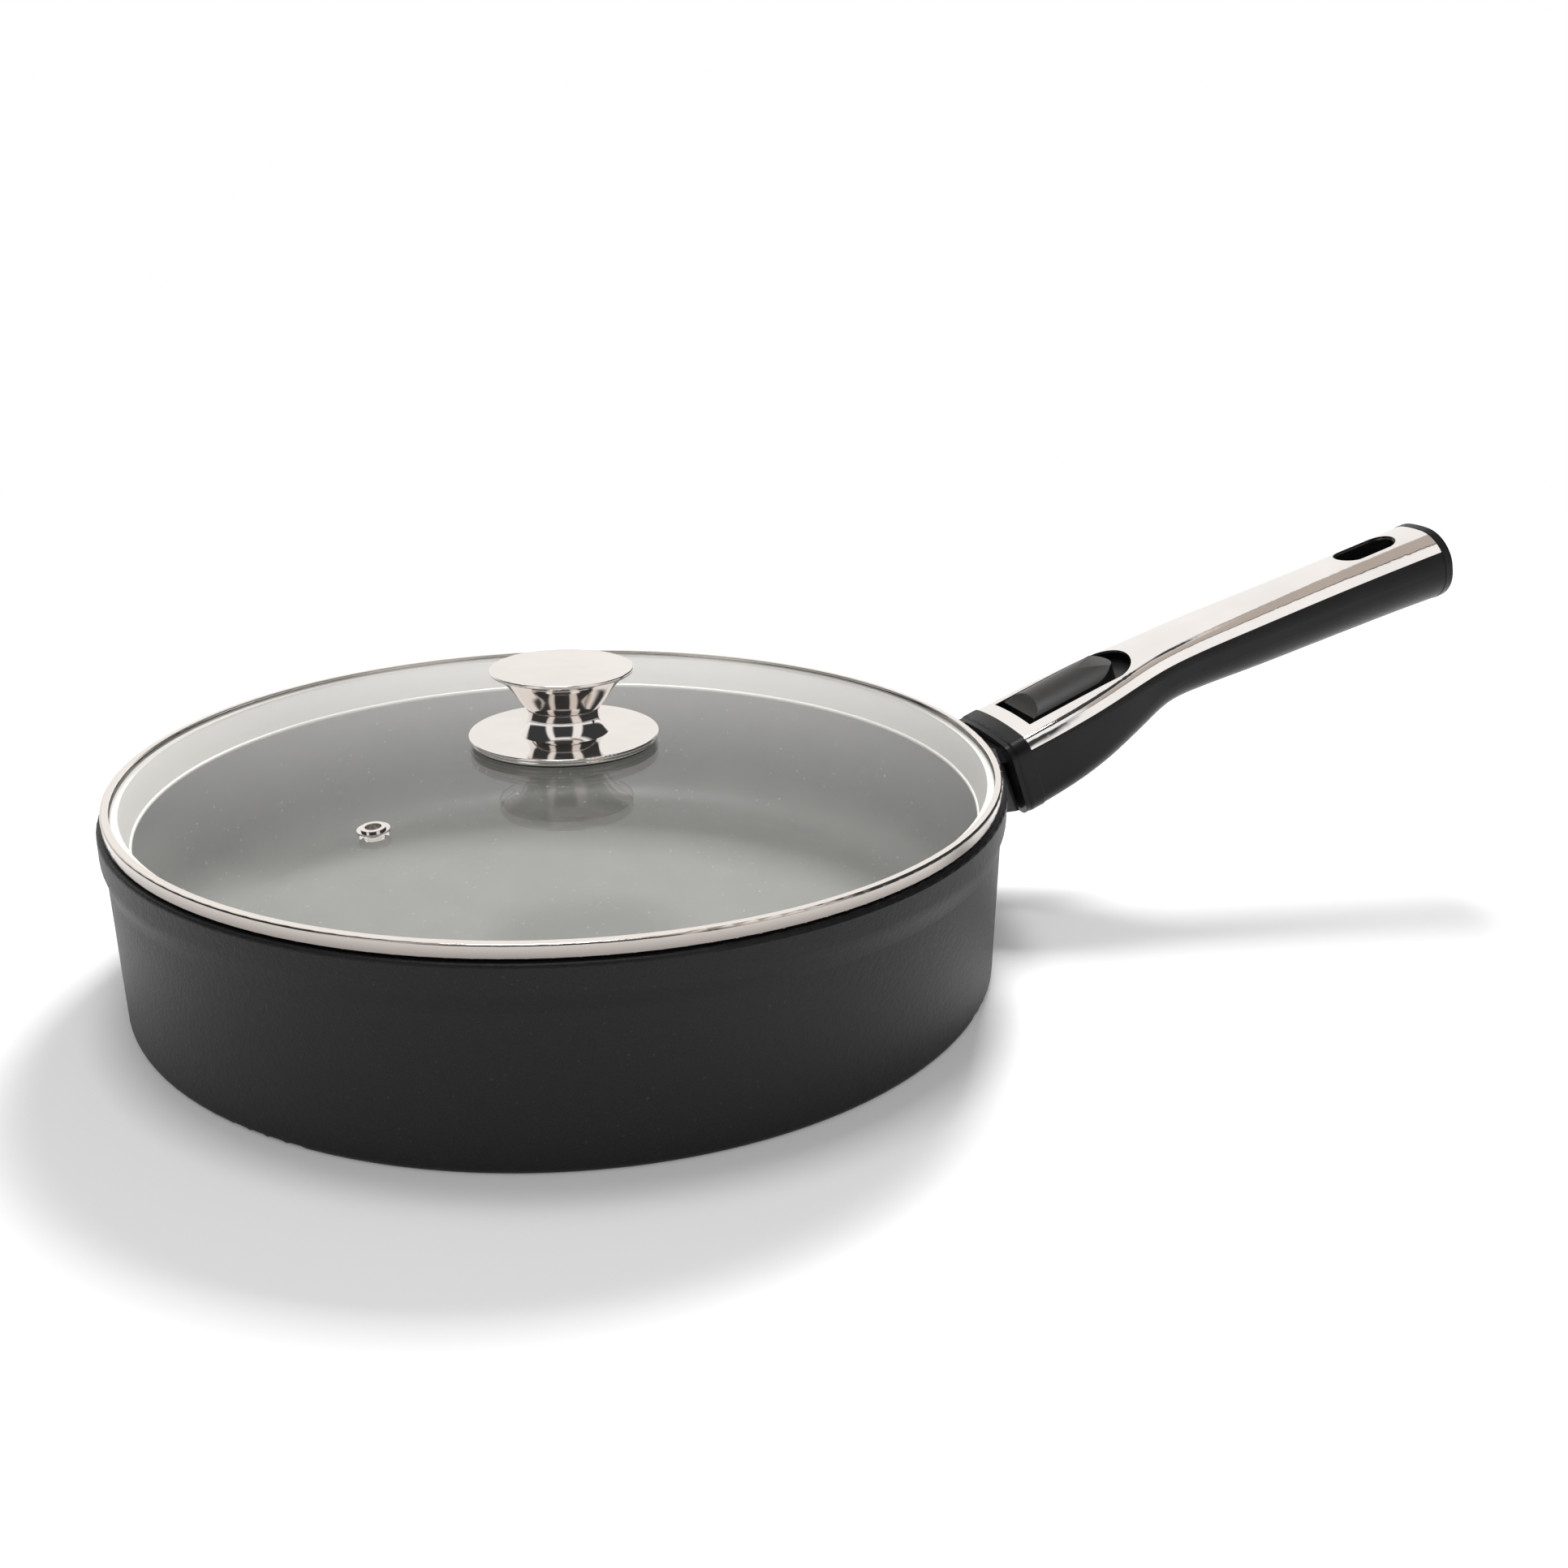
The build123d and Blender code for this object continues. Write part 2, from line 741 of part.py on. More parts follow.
# Countersunk screws of the tray
with BuildPart() as tray_screws:
    head_height = tray_screw_head_radius - tray_screw_radius
    with BuildSketch(front_plane.offset(tray_top)):
        with Locations(*tray_screw_places):
            Circle(tray_screw_radius)
    extrude(amount=-tray_screw_length)
    with Locations(front_plane.offset(tray_top)):
        with Locations(*tray_screw_places):
            Cone(
                tray_screw_radius,
                tray_screw_head_radius,
                head_height,
                align=(Align.CENTER, Align.CENTER, Align.MAX),
            )
    with BuildSketch(front_plane.offset(tray_top)):
        with Locations(*tray_screw_places):
            Rectangle(2 * tray_screw_radius, cross_slot_width)
            Rectangle(cross_slot_width, 2 * tray_screw_radius)
    extrude(amount=-cross_slot_depth, mode=Mode.SUBTRACT)
save(tray_screws.part, "tray_screws")

# Release button: convex top, a slanted hollow at the front for the thumb, and a stem through the tray
button_front = opening_front + button_front_gap
button_rear = button_front + button_length
button_half_width = opening_half_width - button_side_gap
rear_start = button_rear - button_rear_start
with BuildPart() as release_button:
    with BuildSketch(front_plane.offset(button_bottom)):
        add(opening_outline(button_front, button_length, button_end_length, button_half_width))
        make_face()
    extrude(amount=button_top - button_bottom)
    button_side = button_top - button_crown
    with BuildSketch(slope_section(button_front, 0)):
        with BuildLine():
            ThreePointArc(
                (-button_half_width, button_side), (0, button_top), (button_half_width, button_side)
            )
            Line((button_half_width, button_side), (button_half_width, button_bottom))
            Line((button_half_width, button_bottom), (-button_half_width, button_bottom))
            Line((-button_half_width, button_bottom), (-button_half_width, button_side))
        make_face()
    extrude(amount=button_length, mode=Mode.INTERSECT)
    # The crest runs down in a curve to the rear end
    with BuildSketch(Plane.XZ.offset(-button_half_width - overrun)):
        with BuildLine():
            rear_middle_drop = button_rear_drop / 4
            ThreePointArc(
                front_point(rear_start, button_top),
                front_point(button_rear - button_rear_start / 2, button_top - rear_middle_drop),
                front_point(button_rear, button_top - button_rear_drop),
            )
            Polyline(
                front_point(button_rear, button_top - button_rear_drop),
                front_point(button_rear + overrun, button_top - button_rear_drop),
                front_point(button_rear + overrun, button_top + overrun),
                front_point(rear_start, button_top + overrun),
                front_point(rear_start, button_top),
            )
        make_face()
    extrude(amount=2 * (button_half_width + overrun), mode=Mode.SUBTRACT)
    crest = front_point(button_front + hollow_length, button_top)
    foot = front_point(button_front, hollow_foot)
    hollow_middle = front_point(
        button_front + hollow_length / 2 + hollow_sag, (button_top + hollow_foot) / 2 - hollow_sag
    )
    with BuildSketch(Plane.XZ.offset(-button_half_width - overrun)):
        with BuildLine():
            ThreePointArc(foot, hollow_middle, crest)
            Polyline(
                crest,
                front_point(button_front + hollow_length, button_top + overrun),
                front_point(button_front - overrun, button_top + overrun),
                front_point(button_front - overrun, hollow_foot),
                foot,
            )
        make_face()
    extrude(amount=2 * (button_half_width + overrun), mode=Mode.SUBTRACT)
    with BuildSketch(front_plane.offset(button_bottom)):
        with Locations((stem_front + stem_length / 2, 0)):
            Rectangle(stem_length, 2 * stem_half_width)
    extrude(amount=carrier_top - button_bottom)
    with BuildSketch(front_plane.offset(carrier_top)):
        with Locations((stem_front + stem_length / 2, 0)):
            Circle(carrier_screw_radius)
    extrude(amount=carrier_screw_reach, mode=Mode.SUBTRACT)
save(release_button.part, "release_button")

# Carrier: slides under the tray, with a foot for the spring
screw_place = (stem_front + stem_length / 2, 0)
with BuildPart() as button_carrier:
    with BuildSketch(front_plane.offset(carrier_bottom)):
        with Locations((carrier_front + carrier_length / 2, 0)):
            RectangleRounded(carrier_length, 2 * carrier_half_width, carrier_corner_radius)
    extrude(amount=carrier_thickness)
    with BuildSketch(front_plane.offset(carrier_bottom)):
        with Locations((foot_front + foot_length / 2, 0)):
            Rectangle(foot_length, 2 * foot_half_width)
    extrude(amount=-foot_depth)
    with BuildSketch(front_plane.offset(carrier_top)):
        with Locations(screw_place):
            Circle(carrier_screw_radius)
    extrude(amount=-carrier_thickness, mode=Mode.SUBTRACT)
save(button_carrier.part, "button_carrier")

# Wedge: its top follows the slope, its flat underside clamps the tongue
with BuildPart() as lock_wedge:
    with BuildSketch(Plane.XZ.offset(-wedge_half_width)):
        Polygon(
            wedge_front,
            wedge_rear,
            (wedge_rear[0], wedge_bottom),
            (wedge_front[0], wedge_bottom),
            align=None,
        )
    extrude(amount=2 * wedge_half_width)
    head_seat = carrier_bottom - carrier_screw_head_depth
    with BuildSketch(front_plane.offset(carrier_bottom)):
        with Locations(screw_place):
            Circle(carrier_screw_radius)
    extrude(amount=-carrier_screw_head_depth, mode=Mode.SUBTRACT)
    with BuildSketch(front_plane.offset(head_seat)):
        with Locations(screw_place):
            Circle(carrier_screw_head_radius + running_clearance)
    extrude(amount=-wedge_length, mode=Mode.SUBTRACT)
save(lock_wedge.part, "lock_wedge")

# Screw from below through wedge and carrier into the button's stem
with BuildPart() as carrier_screw:
    with BuildSketch(front_plane.offset(head_seat)):
        with Locations(screw_place):
            Circle(carrier_screw_radius)
    extrude(amount=carrier_screw_head_depth + carrier_thickness + carrier_screw_reach)
    with BuildSketch(front_plane.offset(head_seat)):
        with Locations(screw_place):
            Circle(carrier_screw_head_radius)
    extrude(amount=-carrier_screw_head_height)
    with BuildSketch(front_plane.offset(head_seat - carrier_screw_head_height)):
        with Locations(screw_place):
            Rectangle(2 * carrier_screw_radius, cross_slot_width)
            Rectangle(cross_slot_width, 2 * carrier_screw_radius)
    extrude(amount=cross_slot_depth, mode=Mode.SUBTRACT)
save(carrier_screw.part, "carrier_screw")

# Pin fixed in the body, which guides the spring and ends short of the carrier's foot
with BuildPart() as spring_pin:
    pin_front = carrier_rear + button_travel + clearance
    with BuildSketch(slope_section(pin_front, spring_axis)):
        Circle(pin_radius)
    extrude(amount=spring_rear + pin_bite - pin_front)
    chamfer(spring_pin.faces().sort_by(slope_axis)[0].edges(), length=pin_chamfer)
save(spring_pin.part, "spring_pin")

# Compression spring between the body and the carrier's foot
with BuildPart() as latch_spring:
    coil_length = spring_length - 2 * (spring_wire_radius + running_clearance)
    coil_start = front_point(carrier_rear + spring_wire_radius + running_clearance, spring_axis)
    with BuildLine() as coil:
        Helix(
            coil_length / spring_turns,
            coil_length,
            spring_coil_radius,
            center=(coil_start[0], 0, coil_start[1]),
            direction=(along[0], 0, along[1]),
        )
    with BuildSketch(Plane(origin=coil.line @ 0, z_dir=coil.line % 0)):
        Circle(spring_wire_radius)
    sweep(is_frenet=True)
save(latch_spring.part, "latch_spring")

# Lid: its radii follow the pan's, and its heights are worked out upward from the pan's rim
band_radius = rim_radius - band_inset
skirt_radius = inner_radius - skirt_clearance
lid_base = pan_height + lid_seat_gap
glass_radius = band_radius - ring_thickness - glass_edge_gap
glass_edge = lid_base + ring_thickness
glass_top = glass_edge + glass_thickness + glass_rise
glass_curve = (glass_radius**2 + glass_rise**2) / (2 * glass_rise)


def dome_height(r):
    """Height of the glass's upper face at a radius."""
    return glass_top - glass_curve + math.sqrt(glass_curve**2 - r**2)


lip_inner = band_radius - lip_width
lip_under = dome_height(lip_inner) + running_clearance
band_top = lip_under + ring_thickness
skirt_bottom = lid_base - skirt_depth
hem_centre = skirt_radius - skirt_taper - ring_thickness / 2
vent_radians = math.radians(vent_angle)
vent_x = vent_distance * math.cos(vent_radians)
vent_y = vent_distance * math.sin(vent_radians)
vent_z = dome_height(vent_distance)
vent_plane = Plane(origin=(vent_x, vent_y, vent_z), z_dir=(vent_x, vent_y, vent_z - glass_top + glass_curve))
barrel_radius = vent_bore_radius + vent_barrel_wall

# Steel ring folded round the edge of the glass, with a skirt that reaches into the pan
with BuildPart() as lid_rim:
    with BuildSketch(Plane.XZ) as ring_section:
        Polygon(
            (band_radius, lid_base),
            (band_radius, band_top),
            (lip_inner, band_top),
            (lip_inner, lip_under),
            (band_radius - ring_thickness, lip_under),
            (band_radius - ring_thickness, glass_edge),
            (skirt_radius - ring_thickness, glass_edge),
            (hem_centre - ring_thickness / 2, skirt_bottom),
            (hem_centre + ring_thickness / 2, skirt_bottom),
            (skirt_radius, lid_base),
            align=None,
        )
        fillet(ring_section.vertices().group_by(Axis.X)[-1], radius=band_edge_radius)
        with Locations((hem_centre, skirt_bottom)):
            Circle(hem_radius)
    revolve(axis=Axis.Z)
save(lid_rim.part, "lid_rim")

# Glass dome, of even thickness, with holes for the knob's screw and the vent
with BuildPart() as lid_glass:
    hole_top = dome_height(centre_hole_radius)
    middle_radius = glass_radius / 2
    with BuildSketch(Plane.XZ) as glass_section:
        with BuildLine():
            ThreePointArc(
                (centre_hole_radius, hole_top),
                (middle_radius, dome_height(middle_radius)),
                (glass_radius, glass_edge + glass_thickness),
            )
            Line((glass_radius, glass_edge + glass_thickness), (glass_radius, glass_edge))
            ThreePointArc(
                (glass_radius, glass_edge),
                (middle_radius, dome_height(middle_radius) - glass_thickness),
                (centre_hole_radius, hole_top - glass_thickness),
            )
            Line((centre_hole_radius, hole_top - glass_thickness), (centre_hole_radius, hole_top))
        make_face()
        fillet(glass_section.vertices().group_by(Axis.X)[-1], radius=glass_edge_radius)
    revolve(axis=Axis.Z)
    with Locations(vent_plane):
        Hole(barrel_radius + running_clearance, depth=2 * glass_thickness)
save(lid_glass.part, "lid_glass")

# Steam vent: a riveted eyelet, square to the dome
with BuildPart() as vent_eyelet:
    lower_face = -glass_thickness - running_clearance
    vent_top = vent_flange_thickness + vent_step_height
    with BuildSketch(vent_plane.offset(lower_face - vent_flange_thickness)):
        Circle(barrel_radius)
    extrude(amount=vent_top + vent_flange_thickness - lower_face)
    with BuildSketch(vent_plane):
        Circle(vent_flange_radius)
    extrude(amount=vent_flange_thickness)
    with BuildSketch(vent_plane.offset(vent_flange_thickness)):
        Circle(vent_step_radius)
    extrude(amount=vent_step_height)
    with BuildSketch(vent_plane.offset(lower_face)):
        Circle(vent_lower_radius)
    extrude(amount=-vent_flange_thickness)
    with BuildSketch(vent_plane.offset(lower_face - vent_flange_thickness)):
        Circle(vent_bore_radius)
    extrude(amount=vent_top + vent_flange_thickness - lower_face, mode=Mode.SUBTRACT)
save(vent_eyelet.part, "vent_eyelet")

# Knob: heights of its layers above the glass
seat_bottom = glass_top + seat_rise
flange_bottom = seat_bottom + seat_thickness
flange_top = flange_bottom + flange_thickness
waist_top = flange_top + waist_height
funnel_bottom = waist_top + neck_gap
funnel_top = funnel_bottom + funnel_height
screw_hole_radius = knob_screw_radius + knob_screw_clearance

# Seal between glass and knob, its underside follows the dome
with BuildPart() as glass_gasket_top:
    with BuildSketch(Plane.XZ):
        with BuildLine():
            half_gasket = top_gasket_radius / 2
            ThreePointArc(
                (screw_hole_radius, dome_height(screw_hole_radius)),
                (half_gasket, dome_height(half_gasket)),
                (top_gasket_radius, dome_height(top_gasket_radius)),
            )
            Line((top_gasket_radius, dome_height(top_gasket_radius)), (top_gasket_radius, seat_bottom))
            Line((top_gasket_radius, seat_bottom), (screw_hole_radius, seat_bottom))
            Line((screw_hole_radius, seat_bottom), (screw_hole_radius, dome_height(screw_hole_radius)))
        make_face()
    revolve(axis=Axis.Z)
save(glass_gasket_top.part, "glass_gasket_top")

# Two steel layers under the knob
with BuildPart() as knob_seat:
    with BuildSketch(Plane.XY.offset(seat_bottom)):
        Circle(seat_radius)
        Circle(screw_hole_radius, mode=Mode.SUBTRACT)
    extrude(amount=seat_thickness)
    outer_edges = knob_seat.edges().filter_by(GeomType.CIRCLE).group_by(SortBy.RADIUS)[-1]
    fillet(outer_edges, radius=flange_edge_radius)
save(knob_seat.part, "knob_seat")

with BuildPart() as knob_flange:
    with BuildSketch(Plane.XY.offset(flange_bottom)):
        Circle(flange_radius)
        Circle(screw_hole_radius, mode=Mode.SUBTRACT)
    extrude(amount=flange_thickness)
    outer_edges = knob_flange.edges().filter_by(GeomType.CIRCLE).group_by(SortBy.RADIUS)[-1]
    fillet(outer_edges, radius=flange_edge_radius)
save(knob_flange.part, "knob_flange")

# Waisted lower half of the knob
with BuildPart() as knob_waist:
    with BuildSketch(Plane.XZ):
        with BuildLine():
            Spline(
                (waist_foot_radius, flange_top),
                (waist_radius, flange_top + waist_height * waist_share),
                (waist_top_radius, waist_top),
            )
            Line((waist_top_radius, waist_top), (core_radius, waist_top))
            Line((core_radius, waist_top), (core_radius, flange_top))
            Line((core_radius, flange_top), (waist_foot_radius, flange_top))
        make_face()
    revolve(axis=Axis.Z)
save(knob_waist.part, "knob_waist")

# Funnel-shaped upper half, a thin shell round the core
funnel_mid = funnel_bottom + funnel_height * funnel_mid_share
funnel_shoulder = funnel_bottom + funnel_height * funnel_shoulder_share
shell_bottom = funnel_bottom + funnel_wall
with BuildPart() as knob_funnel:
    with BuildSketch(Plane.XZ):
        with BuildLine():
            Spline(
                (funnel_foot_radius, funnel_bottom),
                (funnel_mid_radius, funnel_mid),
                (funnel_shoulder_radius, funnel_shoulder),
                (funnel_top_radius, funnel_top),
            )
            Line((funnel_top_radius, funnel_top), (funnel_top_radius - funnel_wall, funnel_top))
            Spline(
                (funnel_top_radius - funnel_wall, funnel_top),
                (funnel_shoulder_radius - funnel_wall, funnel_shoulder),
                (funnel_mid_radius - funnel_wall, funnel_mid),
                (funnel_foot_radius - funnel_wall, shell_bottom),
            )
            Line((funnel_foot_radius - funnel_wall, shell_bottom), (core_radius, shell_bottom))
            Line((core_radius, shell_bottom), (core_radius, funnel_bottom))
            Line((core_radius, funnel_bottom), (funnel_foot_radius, funnel_bottom))
        make_face()
    revolve(axis=Axis.Z)
save(knob_funnel.part, "knob_funnel")

# Core: threaded insert with a collar between the halves and a pad under the top disc
with BuildPart() as knob_core:
    with BuildSketch(Plane.XY.offset(flange_top)):
        Circle(core_radius)
    extrude(amount=funnel_top - flange_top)
    with BuildSketch(Plane.XY.offset(waist_top)):
        Circle(neck_gap_radius)
    extrude(amount=neck_gap)
    with BuildSketch(Plane.XY.offset(funnel_top - core_pad_thickness)):
        Circle(core_pad_radius)
    extrude(amount=core_pad_thickness)
    with BuildSketch(Plane.XY.offset(flange_top)):
        Circle(knob_screw_radius)
    extrude(amount=knob_screw_reach, mode=Mode.SUBTRACT)
save(knob_core.part, "knob_core")

# Slightly domed disc that closes the knob
with BuildPart() as knob_top_disc:
    disc_edge_top = funnel_top + top_disc_thickness
    dome_curve = (top_disc_radius**2 + top_disc_dome**2) / (2 * top_disc_dome)
    half_disc = top_disc_radius / 2
    disc_crown = disc_edge_top + top_disc_dome
    half_disc_top = disc_crown - dome_curve + math.sqrt(dome_curve**2 - half_disc**2)
    with BuildSketch(Plane.XZ) as disc_section:
        with BuildLine():
            Line((0, funnel_top), (top_disc_radius, funnel_top))
            Line((top_disc_radius, funnel_top), (top_disc_radius, disc_edge_top))
            ThreePointArc((top_disc_radius, disc_edge_top), (half_disc, half_disc_top), (0, disc_crown))
            Line((0, disc_crown), (0, funnel_top))
        make_face()
        fillet(disc_section.vertices().group_by(Axis.X)[-1], radius=top_disc_edge_radius)
    revolve(axis=Axis.Z)
save(knob_top_disc.part, "knob_top_disc")

# Seal under the glass, with a sleeve in the glass's hole
glass_under = glass_top - glass_thickness
gasket_bottom = glass_under - lower_gasket_thickness
with BuildPart() as glass_gasket_bottom:
    sleeve_radius = centre_hole_radius - running_clearance
    with BuildSketch(Plane.XZ):
        with BuildLine():
            half_gasket = (sleeve_radius + lower_gasket_radius) / 2
            ThreePointArc(
                (sleeve_radius, dome_height(sleeve_radius) - glass_thickness),
                (half_gasket, dome_height(half_gasket) - glass_thickness),
                (lower_gasket_radius, dome_height(lower_gasket_radius) - glass_thickness),
            )
            Polyline(
                (lower_gasket_radius, dome_height(lower_gasket_radius) - glass_thickness),
                (lower_gasket_radius, gasket_bottom),
                (screw_hole_radius, gasket_bottom),
                (screw_hole_radius, dome_height(sleeve_radius)),
                (sleeve_radius, dome_height(sleeve_radius)),
                (sleeve_radius, dome_height(sleeve_radius) - glass_thickness),
            )
        make_face()
    revolve(axis=Axis.Z)
save(glass_gasket_bottom.part, "glass_gasket_bottom")

washer_bottom = gasket_bottom - washer_thickness
with BuildPart() as knob_washer:
    with BuildSketch(Plane.XY.offset(washer_bottom)):
        Circle(washer_radius)
        Circle(screw_hole_radius, mode=Mode.SUBTRACT)
    extrude(amount=washer_thickness)
save(knob_washer.part, "knob_washer")

# Screw from below the glass into the knob's core
with BuildPart() as knob_screw:
    with BuildSketch(Plane.XY.offset(washer_bottom)):
        Circle(knob_screw_radius)
    extrude(amount=flange_top + knob_screw_reach - washer_bottom)
    with BuildSketch(Plane.XY.offset(washer_bottom - knob_screw_head_height)):
        Circle(knob_screw_head_radius)
    extrude(amount=knob_screw_head_height)
    fillet(knob_screw.faces().sort_by(Axis.Z)[0].edges(), radius=knob_screw_head_round)
    with BuildSketch(Plane.XY.offset(washer_bottom - knob_screw_head_height)):
        Rectangle(2 * knob_screw_radius, cross_slot_width)
        Rectangle(cross_slot_width, 2 * knob_screw_radius)
    extrude(amount=cross_slot_depth, mode=Mode.SUBTRACT)
save(knob_screw.part, "knob_screw")
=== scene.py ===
import math

import bpy
from mathutils import Matrix, Vector


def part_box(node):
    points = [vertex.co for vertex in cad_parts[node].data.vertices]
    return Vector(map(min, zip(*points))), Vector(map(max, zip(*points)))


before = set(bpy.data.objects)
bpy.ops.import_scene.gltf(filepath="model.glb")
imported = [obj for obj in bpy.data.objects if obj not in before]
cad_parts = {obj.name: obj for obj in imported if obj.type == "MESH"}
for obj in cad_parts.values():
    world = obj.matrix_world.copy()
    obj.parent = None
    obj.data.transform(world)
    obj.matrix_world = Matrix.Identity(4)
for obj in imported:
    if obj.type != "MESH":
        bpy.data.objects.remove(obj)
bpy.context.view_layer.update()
scene = bpy.context.scene

# Camera: where the photograph was taken from, in metres and degrees
FRAME_PIXELS = 1932
FOCAL_PIXELS = 2036.0
SENSOR_MM = 36
CAMERA_DISTANCE = 0.5766
CAMERA_ELEVATION = 24.857
CAMERA_AZIMUTH = -13.533
CAMERA_YAW = -7.524
CAMERA_PITCH = 5.195
CAMERA_ROLL = 3.017
CLIP_START = 0.01
CLIP_END = 100

# Light: what falls on the object from all round, and the white studio that metal reflects,
# with its darker gaps: azimuths from the front, elevations, soft edge, all in degrees, and colour
AMBIENT = 0.28
WHITE = (1.0, 1.0, 1.0)
STUDIO_WHITE = (1.0, 0.975, 0.955)
STUDIO_DARK = (0.045, 0.047, 0.05)
STUDIO_BROWN = (0.50, 0.43, 0.38)
STUDIO_GAPS = (
    ((20, 128), (59, 77), 4, STUDIO_BROWN),
    ((-50, 15), (0, 56), 5, STUDIO_DARK),
    ((46, 138), (0, 52), 5, STUDIO_DARK),
    ((-142, -72), (0, 74), 5, STUDIO_DARK),
    ((10, 60), (59, 61), 1, STUDIO_DARK),
    ((-181, 181), (78, 91), 1, STUDIO_DARK),
)

# Floor, in metres: it turns to plain white between two distances from the pan's axis
FLOOR_SIZE = 12.0
FLOOR_GREY = (0.92, 0.92, 0.92)
FADE_START = 0.42
FADE_END = 1.1
FADE_LEAST = 0.10

# Places on the pan and the lid's ring, in metres
PAN_RADIUS = -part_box("pan_body")[0].x
WALL = 0.0055
WALL_SLACK = 0.0004
FLOOR_SKIN = 0.003
RING_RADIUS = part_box("lid_rim")[1].x
RING_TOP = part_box("lid_rim")[1].z

# Colours
COATING = ((0.0045, 0.0045, 0.0046), (0.0140, 0.0138, 0.0135))
COATING_FLAKE = (0.09, 0.09, 0.09)
INSIDE = ((0.252, 0.250, 0.240), (0.266, 0.264, 0.254))
# Flecks of the inner coating: painted glints, bright in the colour wherever they are
INSIDE_PAINTED_GLINT = (0.66, 0.67, 0.68)
# Outer band of the lid's ring: painted reflection, dark at the band's bottom and lighter towards its
# top
RING_BAND_PAINTED_REFLECTION = ((0.20, 0.18, 0.17), (0.46, 0.42, 0.39))
RING_STEEL = (0.84, 0.80, 0.76)
# Skirt of the lid's ring: pale, partly non-metal colour that is a painted sheen
SKIRT_PAINTED_SHEEN = (0.96, 0.94, 0.90)
DISC_STEEL = ((0.36, 0.35, 0.34), (0.60, 0.59, 0.57))
PLATE_STEEL = (0.90, 0.88, 0.865)
KNOB_STEEL = (0.86, 0.82, 0.79)
SCREW_STEEL = (0.55, 0.54, 0.53)
SPRING_STEEL = (0.48, 0.48, 0.50)
WEDGE_STEEL = (0.50, 0.50, 0.50)
BRACKET_PAINT = ((0.018, 0.019, 0.021), (0.034, 0.035, 0.037))
HANDLE_BLACK = (0.0045, 0.0045, 0.0047)
CAP_BLACK = (0.0048, 0.0048, 0.005)
GUARD_BLACK = (0.010, 0.010, 0.012)
BUTTON_BLACK = (0.009, 0.0084, 0.008)
TRAY_BLACK = (0.014, 0.014, 0.015)
SILICONE = ((0.018, 0.018, 0.018), (0.03, 0.03, 0.03))
GLASS = (0.985, 0.988, 0.982)
GLASS_THROUGH = (0.945, 0.95, 0.942)


def turned(vector, axis, degrees):
    """Vector turned about an axis."""
    return Matrix.Rotation(math.radians(degrees), 3, axis) @ vector


def make_camera():
    """Camera at the photograph's place, turned by the photograph's yaw, pitch and roll."""
    azimuth = math.radians(CAMERA_AZIMUTH)
    elevation = math.radians(CAMERA_ELEVATION)
    place = Vector((
        math.sin(azimuth) * math.cos(elevation),
        -math.cos(azimuth) * math.cos(elevation),
        math.sin(elevation),
    )) * CAMERA_DISTANCE
    ahead = -place.normalized()
    right = Vector((math.cos(azimuth), math.sin(azimuth), 0))
    up = right.cross(ahead)
    ahead, right = turned(ahead, up, CAMERA_YAW), turned(right, up, CAMERA_YAW)
    ahead, up = turned(ahead, right, CAMERA_PITCH), turned(up, right, CAMERA_PITCH)
    right, up = turned(right, ahead, CAMERA_ROLL), turned(up, ahead, CAMERA_ROLL)
    data = bpy.data.cameras.new("camera")
    data.sensor_width = SENSOR_MM
    data.lens = FOCAL_PIXELS / FRAME_PIXELS * SENSOR_MM
    data.clip_start = CLIP_START
    data.clip_end = CLIP_END
    camera = bpy.data.objects.new("camera", data)
    turn = Matrix((right, up, -ahead)).transposed()
    camera.matrix_world = Matrix.Translation(place) @ turn.to_4x4()
    scene.collection.objects.link(camera)
    scene.camera = camera


def make_lamp(name, place, aim, size, power, reflected=True):
    """Soft square lamp that looks at a point."""
    data = bpy.data.lights.new(name, "AREA")
    data.shape = "SQUARE"
    data.size = size
    data.energy = power
    lamp = bpy.data.objects.new(name, data)
    lamp.visible_glossy = reflected
    lamp.visible_transmission = reflected
    lamp.location = place
    lamp.rotation_euler = (Vector(aim) - Vector(place)).to_track_quat("-Z", "Y").to_euler()
    scene.collection.objects.link(lamp)


